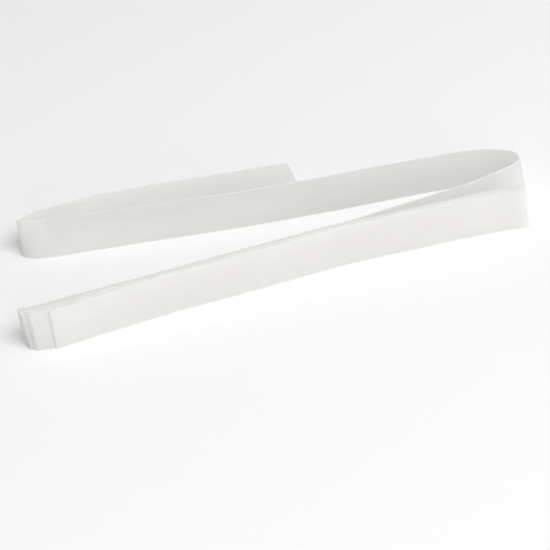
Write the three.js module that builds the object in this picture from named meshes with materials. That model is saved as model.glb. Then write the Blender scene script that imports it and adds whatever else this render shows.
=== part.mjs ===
// A length of horsehair braid, 25.4 mm wide, folded back and forth and stood on one long edge.
//
// It is one flat woven tape with two cut ends. Five lengths lie face to face as a long narrow
// hank, and the outer length has sprung away from them into a wide hairpin loop that ends in a
// short leg behind it. The path of the tape is worked out on the surface it stands on, and a flat
// blank of the tape is then bent along that path.
//
// Millimetres. +X runs along the hank, +Y away from the viewer, +Z up. The tape's lower edge
// stands on z = 0, and the origin is under the middle of the whole object.

import * as THREE from 'three';
import { mergeVertices } from 'three/addons/utils/BufferGeometryUtils.js';

// Driving sizes of the tape
const WIDTH = 25.4;          // edge to edge, which is the height it stands
const THICK = 1.0;           // the sheet, with its braid and the air in it
const LAYERS = 5;            // lengths in the hank, 1 at the back and 5 at the front

// The hank's four folds. Each joins two lengths, and tip is how far the outside of the fold reaches.
const FOLDS = [
  { between: 1, and: 2, end: 'left', tip: -150.4 },
  { between: 2, and: 3, end: 'right', tip: 153.2 },
  { between: 3, and: 4, end: 'left', tip: -148.4 },
  { between: 4, and: 5, end: 'right', tip: 154.4 },
];
const FRONT_END = -132.3;    // where the front length is cut off
const FRONT_SLANT = 1.2;     // its upper corner lies this much further along than its lower one
const LEG_SLANT = 7.2;       // the back leg's cut end: its lower corner reaches this much further
const SLANT_OVER = 24;       // the length of tape over which a slant fades out
const FOLD_STEPS = 8;        // facets round a fold
const ROW_STEPS = 3;         // facets from one row of a table to the next

// The hank, a row for each section along it: the outside of its back length, the outside of its
// front length, and fan, 1 where the lengths stand apart unevenly and 0 where they are even.
const HANK = [
  { x: -150, back: -22.9, front: -30.2, fan: 1.0 },
  { x: -146, back: -24.2, front: -32.2, fan: 1.0 },
  { x: -141.5, back: -24.4, front: -35.3, fan: 1.0 },
  { x: -132, back: -22.9, front: -35.3, fan: 1.0 },
  { x: -120, back: -20.8, front: -32.9, fan: 0.8 },
  { x: -104, back: -18.8, front: -29.1, fan: 0.4 },
  { x: -86, back: -16.5, front: -25.3, fan: 0.1 },
  { x: -58, back: -12.7, front: -20.2, fan: 0.0 },
  { x: -30, back: -8.4, front: -16.1, fan: 0.0 },
  { x: -4, back: -4.9, front: -12.5, fan: 0.0 },
  { x: 22, back: -1.3, front: -8.0, fan: 0.0 },
  { x: 40, back: 1.2, front: -5.3, fan: 0.0 },
  { x: 60, back: 2.9, front: -4.0, fan: 0.0 },
  { x: 86, back: 4.3, front: -2.6, fan: 0.0 },
  { x: 112, back: 5.5, front: -1.7, fan: 0.0 },
  { x: 136, back: 6.4, front: -1.7, fan: 0.0 },
  { x: 150, back: 5.9, front: -2.8, fan: 0.0 },
];
const EVEN = [0, 0.25, 0.5, 0.75, 1];       // where each length lies from back to front
const UNEVEN = [0, 0.24, 0.52, 0.8, 1];     // the same at the fanned end

// The loose length, a row for each section, from its cut end behind, round the left fold, along
// the far side and round the right bend to the hank. x and y are where its lower edge stands, and
// dx and dy are how far its upper edge leans away from straight above that.
const LOOSE = [
  { x: 24.5, y: 90.7, dx: 0, dy: 1.4 },       // cut end of the back leg
  { x: -2, y: 92.3, dx: 0, dy: 1.7 },
  { x: -30, y: 93.5, dx: 0, dy: 3 },
  { x: -58, y: 94.4, dx: 0, dy: 4.3 },
  { x: -84, y: 95.2, dx: 0, dy: 5.7 },
  { x: -103, y: 95.5, dx: 0, dy: 5.6 },
  { x: -118, y: 95.1, dx: 0, dy: 3.3 },
  { x: -130, y: 94.6, dx: 0, dy: 1.6 },
  { x: -138, y: 94, dx: 0, dy: 1.5 },
  { x: -144, y: 91.7, dx: 0.1, dy: 1.3 },
  { x: -149, y: 88.9, dx: 0.3, dy: 1.1 },
  { x: -151.9, y: 87, dx: 0.5, dy: 1.2 },     // left fold
  { x: -153.2, y: 85, dx: 0.9, dy: 1.9 },
  { x: -151.7, y: 82.4, dx: 0.8, dy: 3.8 },
  { x: -148.2, y: 80, dx: 0.4, dy: 5.6 },
  { x: -142, y: 77.5, dx: 0, dy: 7.4 },
  { x: -134, y: 76, dx: 0, dy: 7.8 },         // far side
  { x: -124, y: 75.2, dx: 0, dy: 4.4 },
  { x: -112, y: 74.7, dx: 0, dy: 1.7 },
  { x: -92, y: 73.3, dx: 0, dy: 0.6 },
  { x: -66, y: 71.1, dx: 0, dy: 0.2 },
  { x: -40, y: 68.6, dx: 0, dy: 0.1 },
  { x: -14, y: 66.3, dx: 0, dy: 0 },
  { x: 12, y: 65.2, dx: 0, dy: -0.5 },
  { x: 44, y: 64.3, dx: 0, dy: -0.8 },
  { x: 76, y: 64.2, dx: 0, dy: -0.9 },
  { x: 100, y: 64, dx: 0, dy: -1.2 },
  { x: 116, y: 63.3, dx: 0, dy: -1.1 },
  { x: 129, y: 61.8, dx: 0, dy: -1 },
  { x: 140, y: 58.8, dx: 0, dy: -0.7 },       // right bend
  { x: 149.7, y: 54.2, dx: -0.3, dy: -0.3 },
  { x: 156.4, y: 48.7, dx: -0.9, dy: 0.5 },
  { x: 160, y: 42.2, dx: -1.2, dy: 0.9 },
  { x: 159.7, y: 36, dx: -1.2, dy: 0.9 },
  { x: 155, y: 31, dx: -0.8, dy: 0.6 },
  { x: 147.2, y: 27.6, dx: -0.3, dy: 0.4 },
  { x: 136, y: 23.4, dx: 0, dy: 0.2 },
  { x: 122, y: 18.6, dx: 0, dy: 0 },
  { x: 106, y: 15, dx: 0, dy: 0 },
  { x: 88, y: 10.9, dx: 0, dy: 0 },
  { x: 70, y: 7.1, dx: 0, dy: 0 },
  { x: 54, y: 3.4, dx: 0, dy: 0 },
];
const JOINS_AT = 44;         // left of this the loose length is the hank's back length

const mix = (a, b, t) => a + (b - a) * t;

// Smooth lines through the rows of a table, one for each long edge of the tape, with ROW_STEPS
// facets from row to row
function throughRows(rows) {
  const count = (rows.length - 1) * ROW_STEPS;
  const edge = (share) => new THREE.CatmullRomCurve3(
    rows.map((r) => new THREE.Vector3(r.x + r.dx * share, r.y + r.dy * share, 0)), false, 'centripetal').getPoints(count);
  const upper = edge(1);
  return edge(0).map((p, i) => ({ x: p.x, y: p.y, dx: upper[i].x - p.x, dy: upper[i].y - p.y }));
}

// Where one length of the hank runs at x, from the sections on each side of it
const edges = new THREE.CatmullRomCurve3(
  HANK.map((r) => new THREE.Vector3(r.x, r.back, r.front)), false, 'centripetal');

function sectionAt(x) {
  const i = Math.min(Math.max(HANK.findIndex((r) => r.x > x) - 1, 0), HANK.length - 2);
  const found = x >= HANK[HANK.length - 1].x ? HANK.length - 2 : i;
  let low = found / (HANK.length - 1), high = (found + 1) / (HANK.length - 1);
  for (let n = 0; n < 40; n++) {
    const half = (low + high) / 2;
    if (edges.getPoint(half).x < x) low = half; else high = half;
  }
  const p = edges.getPoint((low + high) / 2);
  const t = (x - HANK[found].x) / (HANK[found + 1].x - HANK[found].x);
  return { back: p.y, front: p.z, fan: mix(HANK[found].fan, HANK[found + 1].fan, Math.min(Math.max(t, 0), 1)) };
}

function layerAt(layer, x) {
  const s = sectionAt(x);
  const share = mix(EVEN[layer - 1], UNEVEN[layer - 1], s.fan);
  return mix(s.back - THICK / 2, s.front + THICK / 2, share);
}

// One straight-run length of the hank, from x = from to x = to
function runOf(layer, from, to) {
  const inside = HANK.map((r) => r.x).filter((x) => x > Math.min(from, to) + 3 && x < Math.max(from, to) - 3);
  if (from > to) inside.reverse();
  return [from, ...inside, to].map((x) => ({ x, y: layerAt(layer, x), dx: 0, dy: 0 }));
}

// A fold: half a turn from one length to the next, at the end of both
function foldOf(fold) {
  const sign = fold.end === 'left' ? -1 : 1;
  const nearTip = fold.tip - sign * (THICK / 2 + 0.85);
  const y0 = layerAt(fold.between, nearTip), y1 = layerAt(fold.and, nearTip);
  const radius = Math.abs(y0 - y1) / 2;
  const centre = fold.tip - sign * (THICK / 2 + radius);
  const turn = [];
  for (let i = 0; i <= FOLD_STEPS; i++) {
    const a = Math.PI * i / FOLD_STEPS;
    turn.push({ x: centre + sign * radius * Math.sin(a), y: (y0 + y1) / 2 + radius * Math.cos(a), dx: 0, dy: 0 });
  }
  return { turn, centre };
}

// The whole path of the tape, from the back leg's cut end to the front length's cut end
function pathOfTape() {
  const folds = FOLDS.map(foldOf);
  const path = throughRows([...LOOSE, ...runOf(1, JOINS_AT, folds[0].centre + 3)]);
  for (let k = 0; k < FOLDS.length; k++) {
    path.push(...folds[k].turn);
    const sign = FOLDS[k].end === 'left' ? 1 : -1;
    const last = k === FOLDS.length - 1;
    const to = last ? FRONT_END : folds[k + 1].centre;
    path.push(...throughRows(runOf(k + 2, folds[k].centre + 3 * sign, last ? to : to - 3 * sign)));
  }
  return path;
}

// Bends the flat blank along the path: its length follows the path, its thickness is set off to
// both sides of it, and its width stands up from the surface.
function bendBlank(path) {
  const count = path.length - 1;
  const along = [0];
  for (let i = 1; i <= count; i++) {
    along.push(along[i - 1] + Math.hypot(path[i].x - path[i - 1].x, path[i].y - path[i - 1].y));
  }
  const total = along[count];
  // the direction across the tape at each facet, for its lower edge (share 0) and its upper (share 1)
  const acrossAt = (share) => path.map((p, i) => {
    const a = path[Math.max(i - 1, 0)], b = path[Math.min(i + 1, count)];
    return new THREE.Vector2(a.y - b.y + (a.dy - b.dy) * share, b.x - a.x + (b.dx - a.dx) * share).normalize();
  });
  const across = [acrossAt(0), acrossAt(1)];
  const blank = new THREE.BoxGeometry(count, 1, 1, count, 1, 1);
  const at = blank.getAttribute('position');
  for (let v = 0; v < at.count; v++) {
    const i = Math.round(at.getX(v) + count / 2);
    const side = at.getY(v) * THICK;
    const up = at.getZ(v) + 0.5;
    const p = path[i], n = across[up][i];
    const fadeA = Math.max(0, 1 - along[i] / SLANT_OVER), fadeB = Math.max(0, 1 - (total - along[i]) / SLANT_OVER);
    const slant = LEG_SLANT * (0.5 - up) * fadeA + FRONT_SLANT * (up - 0.5) * fadeB;
    const height = Math.sqrt(WIDTH * WIDTH - p.dx * p.dx - p.dy * p.dy) * up;
    at.setXYZ(v, p.x + p.dx * up + n.x * side + slant, p.y + p.dy * up + n.y * side, height);
  }
  blank.deleteAttribute('uv');
  blank.deleteAttribute('normal');
  const solid = mergeVertices(blank, 1e-4);
  solid.computeVertexNormals();
  return solid;
}

const geometry = bendBlank(pathOfTape());
geometry.computeBoundingBox();
const box = geometry.boundingBox;

const braid = new THREE.Mesh(geometry, new THREE.MeshStandardMaterial({
  name: 'braid', color: 0xeceae4, roughness: 0.55, metalness: 0,
}));
braid.name = 'braid';

const tape = new THREE.Group();
tape.add(braid);
tape.position.set(-(box.min.x + box.max.x) / 2, -(box.min.y + box.max.y) / 2, -box.min.z);
tape.updateMatrixWorld(true);

export default tape;
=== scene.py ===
import bisect
import math

import bpy
import numpy as np
from mathutils import Matrix, Vector


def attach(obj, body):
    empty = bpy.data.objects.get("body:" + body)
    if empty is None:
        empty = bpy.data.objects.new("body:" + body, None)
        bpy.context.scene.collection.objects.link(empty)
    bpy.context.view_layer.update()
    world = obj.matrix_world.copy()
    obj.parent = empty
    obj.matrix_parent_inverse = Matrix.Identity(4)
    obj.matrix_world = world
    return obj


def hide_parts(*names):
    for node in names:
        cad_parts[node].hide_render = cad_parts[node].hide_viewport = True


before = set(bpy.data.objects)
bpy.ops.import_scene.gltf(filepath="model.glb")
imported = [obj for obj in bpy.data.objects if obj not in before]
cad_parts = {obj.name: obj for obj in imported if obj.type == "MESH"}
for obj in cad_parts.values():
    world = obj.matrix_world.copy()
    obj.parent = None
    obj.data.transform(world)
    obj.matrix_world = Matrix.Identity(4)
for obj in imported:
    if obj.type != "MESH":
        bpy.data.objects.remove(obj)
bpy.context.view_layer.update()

MM = 0.001

# ---------------------------------------------------------------------------------------------
# Sizes, in millimetres. The path is the one that the solid follows.
# ---------------------------------------------------------------------------------------------
WIDTH = 25.4          # the braid, edge to edge
THICK = 0.60          # the braid itself, thinner than its solid
EDGE_THICK = 0.66     # its woven edges are a little thicker
SOLID_THICK = 1.0     # the solid's sheet, whose outer faces the hank keeps to
SHIFT = (-3.5519, -33.2605)   # from the table's origin to the object's

FOLDS = [
    dict(between=1, and_=2, end="left", tip=-150.4),
    dict(between=2, and_=3, end="right", tip=153.2),
    dict(between=3, and_=4, end="left", tip=-148.4),
    dict(between=4, and_=5, end="right", tip=154.4),
]
FRONT_END, FRONT_SLANT, LEG_SLANT, SLANT_OVER = -132.3, 1.2, 7.2, 24.0
FOLD_STEPS = 20

# the hank: x, outside of its back length, outside of its front length, unevenness
HANK = [
    (-150, -22.9, -30.2, 1.0), (-146, -24.2, -32.2, 1.0), (-141.5, -24.4, -35.3, 1.0), (-132, -22.9, -35.3, 1.0),
    (-120, -20.8, -32.9, 0.8), (-104, -18.8, -29.1, 0.4), (-86, -16.5, -25.3, 0.1), (-58, -12.7, -20.2, 0.0),
    (-30, -8.4, -16.1, 0.0), (-4, -4.9, -12.5, 0.0), (22, -1.3, -8.0, 0.0), (40, 1.2, -5.3, 0.0),
    (60, 2.9, -4.0, 0.0), (86, 4.3, -2.6, 0.0), (112, 5.5, -1.7, 0.0), (136, 6.4, -1.7, 0.0), (150, 5.9, -2.8, 0.0),
]
EVEN = (0, 0.25, 0.5, 0.75, 1)
UNEVEN = (0, 0.33, 0.53, 0.86, 1)

# the loose length: x, y of its lower edge, and how far its upper edge leans in x and y
LOOSE = [
    (24.5, 90.7, 0, 1.4), (-2, 92.3, 0, 1.7), (-30, 93.5, 0, 3), (-58, 94.4, 0, 4.3), (-84, 95.2, 0, 5.7),
    (-103, 95.5, 0, 5.6), (-118, 95.1, 0, 3.3), (-130, 94.6, 0, 1.6), (-138, 94, 0, 1.5), (-144, 91.7, 0.1, 1.3),
    (-149, 88.9, 0.3, 1.1), (-151.9, 87, 0.5, 1.2), (-153.2, 85, 0.9, 1.9), (-151.7, 82.4, 0.8, 3.8),
    (-148.2, 80, 0.4, 5.6), (-142, 77.5, 0, 7.4), (-134, 76, 0, 7.8), (-124, 75.2, 0, 4.4), (-112, 74.7, 0, 1.7),
    (-92, 73.3, 0, 0.6), (-66, 71.1, 0, 0.2), (-40, 68.6, 0, 0.1), (-14, 66.3, 0, 0), (12, 65.2, 0, -0.5),
    (44, 64.3, 0, -0.8), (76, 64.2, 0, -0.9), (100, 64, 0, -1.2), (116, 63.3, 0, -1.1), (129, 61.8, 0, -1),
    (140, 58.8, 0, -0.7), (149.7, 54.2, -0.3, -0.3), (156.4, 48.7, -0.9, 0.5), (160, 42.2, -1.2, 0.9),
    (159.7, 36, -1.2, 0.9), (155, 31, -0.8, 0.6), (147.2, 27.6, -0.3, 0.4), (136, 23.4, 0, 0.2), (122, 18.6, 0, 0),
    (106, 15, 0, 0), (88, 10.9, 0, 0), (70, 7.1, 0, 0), (54, 3.4, 0, 0),
]
JOINS_AT = 44
STEPS = 12            # points from one row to the next, before they are spaced out along the braid

# ---------------------------------------------------------------------------------------------
# The path of the braid
# ---------------------------------------------------------------------------------------------

def smooth(points, steps):
    """A centripetal curve through points, with steps pieces from each to the next."""
    p = np.asarray(points, float)
    p = np.vstack([2 * p[0] - p[1], p, 2 * p[-1] - p[-2]])
    out = []
    for i in range(1, len(p) - 2):
        p0, p1, p2, p3 = p[i - 1:i + 3]
        d0, d1, d2 = (max(float(((b - a) ** 2).sum()) ** 0.25, 1e-4) for a, b in ((p0, p1), (p1, p2), (p2, p3)))
        t1 = ((p1 - p0) / d0 - (p2 - p0) / (d0 + d1) + (p2 - p1) / d1) * d1
        t2 = ((p2 - p1) / d1 - (p3 - p1) / (d1 + d2) + (p3 - p2) / d2) * d1
        for k in range(steps):
            t = k / steps
            out.append(p1 + t1 * t + (-3 * p1 + 3 * p2 - 2 * t1 - t2) * t * t + (2 * p1 - 2 * p2 + t1 + t2) * t ** 3)
    out.append(p[-2])
    return np.array(out)


SECTIONS = smooth([(x, back, front) for x, back, front, _ in HANK], 60)


def layer_at(layer, x):
    """Where a length of the hank, 1 at the back to 5 at the front, runs at x."""
    back = np.interp(x, SECTIONS[:, 0], SECTIONS[:, 1])
    front = np.interp(x, SECTIONS[:, 0], SECTIONS[:, 2])
    fan = np.interp(x, [r[0] for r in HANK], [r[3] for r in HANK])
    share = EVEN[layer - 1] + (UNEVEN[layer - 1] - EVEN[layer - 1]) * fan
    a, b = back - THICK / 2 - 0.1, front + THICK / 2 + 0.1
    return a + (b - a) * share


def run_of(layer, start, end):
    low, high = min(start, end), max(start, end)
    xs = [r[0] for r in HANK if low + 3 < r[0] < high - 3]
    if start > end:
        xs.reverse()
    return [(x, layer_at(layer, x), 0, 0) for x in [start, *xs, end]]


def fold_of(f):
    sign = -1 if f["end"] == "left" else 1
    near = f["tip"] - sign * (SOLID_THICK / 2 + 0.85)
    y0, y1 = layer_at(f["between"], near), layer_at(f["and_"], near)
    r = abs(y0 - y1) / 2
    centre = f["tip"] - sign * (SOLID_THICK / 2 + r)
    a = np.linspace(0, math.pi, FOLD_STEPS + 1)
    x = centre + sign * (r + 0.2) * np.sin(a)
    turn = np.stack([x, (y0 + y1) / 2 + r * np.cos(a), 0 * a, 0 * a], 1)
    return turn, centre


def through(rows):
    rows = np.array(rows, float)
    low = smooth(rows[:, :2], STEPS)
    high = smooth(rows[:, :2] + rows[:, 2:], STEPS)
    return np.hstack([low, high - low])


def ease(a, b, start, end):
    """A smooth piece from point a, heading along X, to point b, heading to end (or the other way)."""
    t = np.linspace(0, 1, 17)[1:-1, None]
    a, b = np.asarray(a, float), np.asarray(b, float)
    d = np.linalg.norm(b[:2] - a[:2])
    ta, tb = np.r_[np.asarray(start) * d, 0, 0], np.r_[np.asarray(end) * d, 0, 0]
    return (2 * t**3 - 3 * t**2 + 1) * a + (t**3 - 2 * t**2 + t) * ta + (3 * t**2 - 2 * t**3) * b + (t**3 - t**2) * tb


def unit(v):
    return v / np.linalg.norm(v)


EASE = 4.5            # from a fold to where its lengths run on their own way
folds = [fold_of(f) for f in FOLDS]
parts = [through(LOOSE + run_of(1, JOINS_AT, folds[0][1] + EASE))]
for k, f in enumerate(FOLDS):
    sign = 1 if f["end"] == "left" else -1
    last = k == len(FOLDS) - 1
    to = FRONT_END if last else folds[k + 1][1] - EASE * sign
    turn = folds[k][0]
    run = through(run_of(k + 2, folds[k][1] + EASE * sign, to))
    before = parts[-1]
    parts += [
        ease(before[-1], turn[0], unit(before[-1, :2] - before[-2, :2]), (-sign, 0)),
        turn,
        ease(turn[-1], run[0], (sign, 0), unit(run[1, :2] - run[0, :2])),
        run,
    ]
path = np.vstack(parts)
path = path[np.r_[True, np.linalg.norm(np.diff(path[:, :2], axis=0), axis=1) > 1e-4]]

# spaced along the braid: close together where it bends, further apart where it runs straight
along = np.r_[0, np.cumsum(np.linalg.norm(np.diff(path[:, :2], axis=0), axis=1))]
heading = np.unwrap(np.arctan2(*np.diff(path[:, :2], axis=0).T[::-1]))
bend = np.r_[0, np.cumsum(np.abs(np.diff(heading))), 0]
bend[-1] = bend[-2]
effort = along / 1.5 + bend / math.radians(9)
N = int(effort[-1]) + 1
want = np.interp(np.linspace(0, effort[-1], N), effort, along)
P = np.stack([np.interp(want, along, path[:, k]) for k in range(4)], 1)
S = want
TOTAL = float(S[-1])

# ---------------------------------------------------------------------------------------------
# The braid: a closed thin sheet with thicker woven edges
# ---------------------------------------------------------------------------------------------

def across_of(q):
    d = np.gradient(q, axis=0)
    n = np.stack([-d[:, 1], d[:, 0]], 1)
    return n / np.linalg.norm(n, axis=1)[:, None]


def ripple(s, seed, wave):
    """A slow, smooth unevenness along the braid, from -1 to 1."""
    r = np.random.default_rng(seed)
    out = np.zeros_like(s)
    for k in range(5):
        out += np.sin(s / wave * 2 * math.pi * (0.6 + 0.5 * k + 0.3 * r.random()) + 2 * math.pi * r.random()) / (1 + k)
    return out / 2.3


V = np.array([0, 0.10, 0.32, 0.66, 1.05, 1.5, 2.4, 4.6, 7.2, 10, 12.7, 15.4, 18.2, 20.8, 23.0, 23.9, 24.35, 24.74, 25.08, 25.3, 25.4])
lip = np.minimum(V, WIDTH - V)
half = np.interp(lip, [0, 0.10, 0.32, 0.66, 1.05, 1.5], [0.15, 0.26, EDGE_THICK / 2, EDGE_THICK / 2, 0.31, THICK / 2])

low, high = P[:, :2], P[:, :2] + P[:, 2:]
n0, n1 = across_of(low), across_of(high)
height = np.sqrt(WIDTH ** 2 - (P[:, 2:] ** 2).sum(axis=1))
width_off = 0.16 * ripple(S, 11, 90)                       # the braid isn't quite of one width
wave = 0.10 * ripple(S, 3, 38)                             # the sheet isn't quite flat
edge_wave = 0.16 * ripple(S, 5, 21)                        # its upper edge least of all
fade_a = np.clip(1 - S / SLANT_OVER, 0, 1)
fade_b = np.clip(1 - (TOTAL - S) / SLANT_OVER, 0, 1)

thin = np.interp(np.minimum(S, TOTAL - S), [0, 2.5], [0.4, 1])      # cut ends are pressed flat

rings = []
for side in (1, -1):
    columns = range(len(V)) if side == 1 else range(len(V) - 1, -1, -1)
    for j in columns:
        u = V[j] / WIDTH
        n = n0 * (1 - u) + n1 * u
        n /= np.linalg.norm(n, axis=1)[:, None]
        off = side * half[j] * thin + wave * math.sin(math.pi * u) + edge_wave * u ** 3
        slant = LEG_SLANT * (0.5 - u) * fade_a + FRONT_SLANT * (u - 0.5) * fade_b
        xy = low * (1 - u) + high * u + n * off[:, None]
        z = (height + width_off) * u
        rings.append(np.stack([xy[:, 0] + slant, xy[:, 1], z], 1))
rings = np.stack(rings, 1)                                  # station, round the section, xyz
K = rings.shape[1]
shift = np.array([SHIFT[0], SHIFT[1], 0])
verts = ((rings + shift) * MM).reshape(-1, 3)
faces, uvs = [], []
v_of = np.r_[V, V[::-1]] * MM
for i in range(N - 1):
    for k in range(K):
        m = (k + 1) % K
        faces.append((i * K + k, i * K + m, (i + 1) * K + m, (i + 1) * K + k))
        uvs += [(S[i] * MM, v_of[k]), (S[i] * MM, v_of[m]), (S[i + 1] * MM, v_of[m]), (S[i + 1] * MM, v_of[k])]
M = len(V)
for i, order in ((0, 1), (N - 1, -1)):
    for j in range(M - 1):
        q = (i * K + j, i * K + K - 1 - j, i * K + K - 2 - j, i * K + j + 1)
        q = q[::order]
        faces.append(q)
        for w in q:
            k = w - i * K
            uvs.append((S[i] * MM, v_of[k]))

mesh = bpy.data.meshes.new("braid_tape")
mesh.from_pydata(verts.tolist(), [], faces)
uv = mesh.uv_layers.new(name="tape")
uv.data.foreach_set("uv", np.array(uvs, "f").ravel())
mesh.validate()
mesh.update()
mesh.polygons.foreach_set("use_smooth", [True] * len(mesh.polygons))
braid = bpy.data.objects.new("braid_tape", mesh)
bpy.context.collection.objects.link(braid)

import bmesh
bm = bmesh.new()
bm.from_mesh(mesh)
bmesh.ops.recalc_face_normals(bm, faces=bm.faces)
bm.to_mesh(mesh)
bm.free()

# ---------------------------------------------------------------------------------------------
# Material
# ---------------------------------------------------------------------------------------------

class Nodes:
    """Short names for adding nodes to a material."""

    def __init__(self, name):
        self.mat = bpy.data.materials.new(name)
        self.mat.use_nodes = True
        self.tree = self.mat.node_tree
        self.tree.nodes.clear()

    def add(self, kind, **inputs):
        n = self.tree.nodes.new(kind)
        for key, value in inputs.items():
            self.feed(n.inputs[key.replace("_", " ") if key.replace("_", " ") in n.inputs else key], value)
        return n

    def feed(self, socket, value):
        if hasattr(value, "links"):
            self.tree.links.new(value, socket)
        else:
            socket.default_value = value

    def math(self, op, a, b=None, c=None, clamp=False):
        n = self.tree.nodes.new("ShaderNodeMath")
        n.operation, n.use_clamp = op, clamp
        for socket, value in zip(n.inputs, (a, b, c)):
            if value is not None:
                self.feed(socket, value)
        return n.outputs[0]

    def ramp(self, value, a, b, low=0.0, high=1.0, kind="SMOOTHSTEP"):
        n = self.tree.nodes.new("ShaderNodeMapRange")
        n.interpolation_type = kind
        for socket, x in zip(n.inputs, (value, a, b, low, high)):
            self.feed(socket, x)
        return n.outputs[0]


def braid_material():
    b = Nodes("horsehair_braid")
    uvm = b.tree.nodes.new("ShaderNodeUVMap")
    uvm.uv_map = "tape"
    sep = b.add("ShaderNodeSeparateXYZ", Vector=uvm.outputs[0])
    u = b.math("MULTIPLY", sep.outputs[0], 1000.0)          # millimetres along the braid
    v = b.math("MULTIPLY", sep.outputs[1], 1000.0)          # millimetres across it

    # strands of two filaments each cross at 42 degrees to the length, over and under in turn
    pitch, angle, wide = 0.74, math.radians(42), 0.30
    su, cv = b.math("MULTIPLY", u, math.sin(angle) / pitch), b.math("MULTIPLY", v, math.cos(angle) / pitch)
    # no strand runs quite straight
    drift = b.add("ShaderNodeCombineXYZ", X=b.math("MULTIPLY", u, 0.16), Y=b.math("MULTIPLY", v, 0.16))
    drift = b.add("ShaderNodeTexNoise", Vector=drift.outputs[0], Scale=1.0, Detail=2.0, Roughness=0.5)
    sway = b.math("MULTIPLY", b.math("SUBTRACT", drift.outputs["Fac"], 0.5), 0.9)
    a = b.math("ADD", b.math("ADD", su, cv), sway)
    c = b.math("SUBTRACT", b.math("SUBTRACT", su, cv), sway)
    odd = b.math("ABSOLUTE", b.math("MODULO", b.math("ADD", b.math("FLOOR", a), b.math("FLOOR", c)), 2.0))
    even = b.math("SUBTRACT", 1.0, odd)

    def strand(x, on_top):
        """Cover and height of the strands of one direction."""
        f = b.math("ABSOLUTE", b.math("SUBTRACT", b.math("FRACT", x), 0.5))
        cover = b.ramp(f, wide + 0.05, wide - 0.04)
        ridge = b.math("DIVIDE", b.math("SUBTRACT", f, wide / 2), wide / 2)
        ridge = b.math("SUBTRACT", 1.0, b.math("MULTIPLY", b.math("MULTIPLY", ridge, ridge), 0.75), clamp=True)
        level = b.math("ADD", 0.45, b.math("MULTIPLY", on_top, 0.55))
        return cover, b.math("MULTIPLY", b.math("MULTIPLY", cover, ridge), level)

    cover_a, high_a = strand(a, odd)
    cover_c, high_c = strand(c, even)
    cover = b.math("MAXIMUM", cover_a, cover_c)
    relief = b.math("MAXIMUM", high_a, high_c)

    # woven edges, closed
    lip = b.math("MINIMUM", v, b.math("SUBTRACT", 25.4, v))
    edge = b.ramp(lip, 1.1, 0.5)
    cover = b.math("MAXIMUM", cover, b.math("MULTIPLY", edge, EDGE_COVER))

    # faint streaks along the braid, and slow clouding
    vec = b.add("ShaderNodeCombineXYZ", X=b.math("MULTIPLY", u, 0.012), Y=b.math("MULTIPLY", v, 0.9))
    streak = b.add("ShaderNodeTexNoise", Vector=vec.outputs[0], Scale=1.0, Detail=3.0, Roughness=0.6)
    vec2 = b.add("ShaderNodeCombineXYZ", X=b.math("MULTIPLY", u, 0.02), Y=b.math("MULTIPLY", v, 0.08))
    cloud = b.add("ShaderNodeTexNoise", Vector=vec2.outputs[0], Scale=1.0, Detail=2.0, Roughness=0.5)
    s = b.ramp(streak.outputs["Fac"], 0.3, 0.7, -1.0, 1.0, "LINEAR")
    k = b.ramp(cloud.outputs["Fac"], 0.3, 0.7, -1.0, 1.0, "LINEAR")

    dense = b.ramp(cover, 0.0, 1.0, HOLE, STRAND, "LINEAR")
    dense = b.math("ADD", dense, b.math("MULTIPLY", s, 0.02))
    dense = b.math("ADD", dense, b.math("MULTIPLY", k, 0.012), clamp=True)

    tone = b.math("ADD", 0.5, b.math("ADD", b.math("MULTIPLY", s, 0.25), b.math("MULTIPLY", k, 0.25)), clamp=True)
    mix = b.tree.nodes.new("ShaderNodeMix")
    mix.data_type = "RGBA"
    b.feed(mix.inputs[0], tone)
    mix.inputs[6].default_value = COLOUR_LOW
    mix.inputs[7].default_value = COLOUR_HIGH
    colour = mix.outputs[2]

    bump = b.add("ShaderNodeBump", Strength=0.5, Distance=0.00014, Height=relief)
    face = b.add("ShaderNodeBsdfPrincipled", Base_Color=colour, Normal=bump.outputs[0])
    face.inputs["Roughness"].default_value = 0.42
    face.inputs["Specular IOR Level"].default_value = 0.35
    face.inputs["Sheen Weight"].default_value = 0.08
    face.inputs["Sheen Roughness"].default_value = 0.5
    glow = b.add("ShaderNodeBsdfTranslucent", Color=colour, Normal=bump.outputs[0])
    solid = b.tree.nodes.new("ShaderNodeMixShader")
    solid.inputs[0].default_value = GLOW
    b.feed(solid.inputs[1], face.outputs[0])
    b.feed(solid.inputs[2], glow.outputs[0])
    gap = b.add("ShaderNodeBsdfTransparent")
    whole = b.tree.nodes.new("ShaderNodeMixShader")
    b.feed(whole.inputs[0], dense)
    b.feed(whole.inputs[1], gap.outputs[0])
    b.feed(whole.inputs[2], solid.outputs[0])
    out = b.tree.nodes.new("ShaderNodeOutputMaterial")
    b.feed(out.inputs["Surface"], whole.outputs[0])
    return b.mat


HOLE, STRAND, EDGE_COVER, GLOW = 0.26, 0.93, 0.72, 0.77
COLOUR_LOW, COLOUR_HIGH = (0.972, 0.969, 0.958, 1), (0.984, 0.982, 0.974, 1)
mesh.materials.append(braid_material())

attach(braid, "root")
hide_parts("braid")

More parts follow.
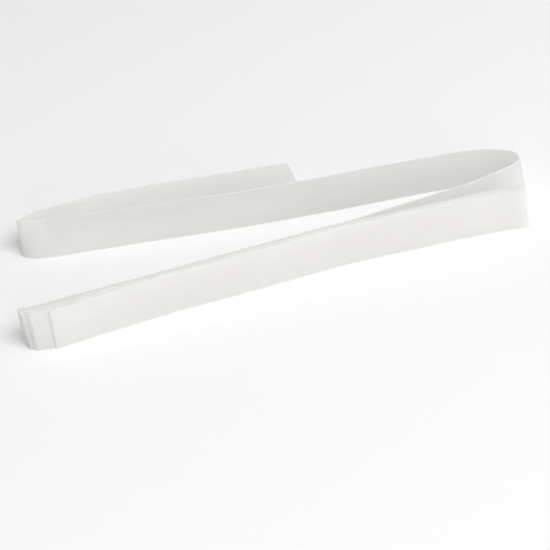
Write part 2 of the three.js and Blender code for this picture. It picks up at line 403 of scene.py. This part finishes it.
# ---------------------------------------------------------------------------------------------
# Floor, light and camera
# ---------------------------------------------------------------------------------------------
floor_mesh = bpy.data.meshes.new("floor")
R = 6.0
floor_mesh.from_pydata([(-R, -R, 0), (R, -R, 0), (R, R, 0), (-R, R, 0)], [], [(0, 1, 2, 3)])
floor = bpy.data.objects.new("floor", floor_mesh)
bpy.context.collection.objects.link(floor)
floor.location.z = -0.0001
f = Nodes("pale_floor")
shade = f.add("ShaderNodeBsdfPrincipled")
shade.inputs["Base Color"].default_value = (0.86, 0.86, 0.86, 1)
shade.inputs["Roughness"].default_value = 0.9
shade.inputs["Specular IOR Level"].default_value = 0.1
out = f.tree.nodes.new("ShaderNodeOutputMaterial")
f.feed(out.inputs["Surface"], shade.outputs[0])
floor_mesh.materials.append(f.mat)


def lamp(name, at, look, size, power, colour=(1, 1, 1)):
    d = bpy.data.lights.new(name, "AREA")
    d.shape, d.size, d.size_y, d.energy, d.color = "RECTANGLE", size[0], size[1], power, colour
    o = bpy.data.objects.new(name, d)
    bpy.context.collection.objects.link(o)
    o.location = at
    o.rotation_mode = "QUATERNION"
    o.rotation_quaternion = (Vector(look) - Vector(at)).to_track_quat("-Z", "Y")
    return o


lamp("key_softbox", (1.887, -3.268, 3.280), (0, 0, 0), (3.3, 2.2), 204)
lamp("low_softbox", (1.274, -4.756, 0.868), (0, 0, 0), (3.3, 1.6), 76)
lamp("side_softbox", (4.292, -1.562, 2.034), (0, 0, 0), (3.3, 2.2), 29)
lamp("back_softbox", (0.000, 3.716, 3.346), (0, 0, 0), (3.3, 2.2), 12)
lamp("top_softbox", (0.000, -0.140, 3.998), (0, 0, 0), (4.0, 4.0), 41)
world = bpy.data.worlds.new("studio")
world.use_nodes = True
world.node_tree.nodes["Background"].inputs[0].default_value = (1, 1, 1, 1)
world.node_tree.nodes["Background"].inputs[1].default_value = 0.26
bpy.context.scene.world = world

# The camera looks along +Y from 30 degrees up, and the picture is rolled by 11.2 degrees.
ELEVATION, ROLL, DISTANCE, FOCAL_PX = math.radians(30.0), math.radians(11.2), 1.190, 2000.0
forward = Vector((0, math.cos(ELEVATION), -math.sin(ELEVATION)))
level_up = Vector((0, math.sin(ELEVATION), math.cos(ELEVATION)))
right = Vector((1, 0, 0)) * math.cos(ROLL) - level_up * math.sin(ROLL)
up = Vector((1, 0, 0)) * math.sin(ROLL) + level_up * math.cos(ROLL)
cam_data = bpy.data.cameras.new("camera")
cam_data.sensor_width = 36.0
cam_data.lens = FOCAL_PX / 550.0 * 36.0
cam = bpy.data.objects.new("camera", cam_data)
bpy.context.collection.objects.link(cam)
cam.matrix_world = Matrix((
    (right.x, up.x, -forward.x, 0), (right.y, up.y, -forward.y, 0), (right.z, up.z, -forward.z, 0), (0, 0, 0, 1)))
cam.location = Vector((SHIFT[0] * MM, SHIFT[1] * MM, 0)) - forward * DISTANCE
cam_data.clip_start, cam_data.clip_end = 0.05, 20
bpy.context.scene.camera = cam

sc = bpy.context.scene
sc.view_settings.view_transform = "Standard"
sc.view_settings.look = "None"
sc.cycles.max_bounces = 24
sc.cycles.diffuse_bounces = 14
sc.cycles.glossy_bounces = 4
sc.cycles.transmission_bounces = 14
sc.cycles.transparent_max_bounces = 48
sc.cycles.use_denoising = True
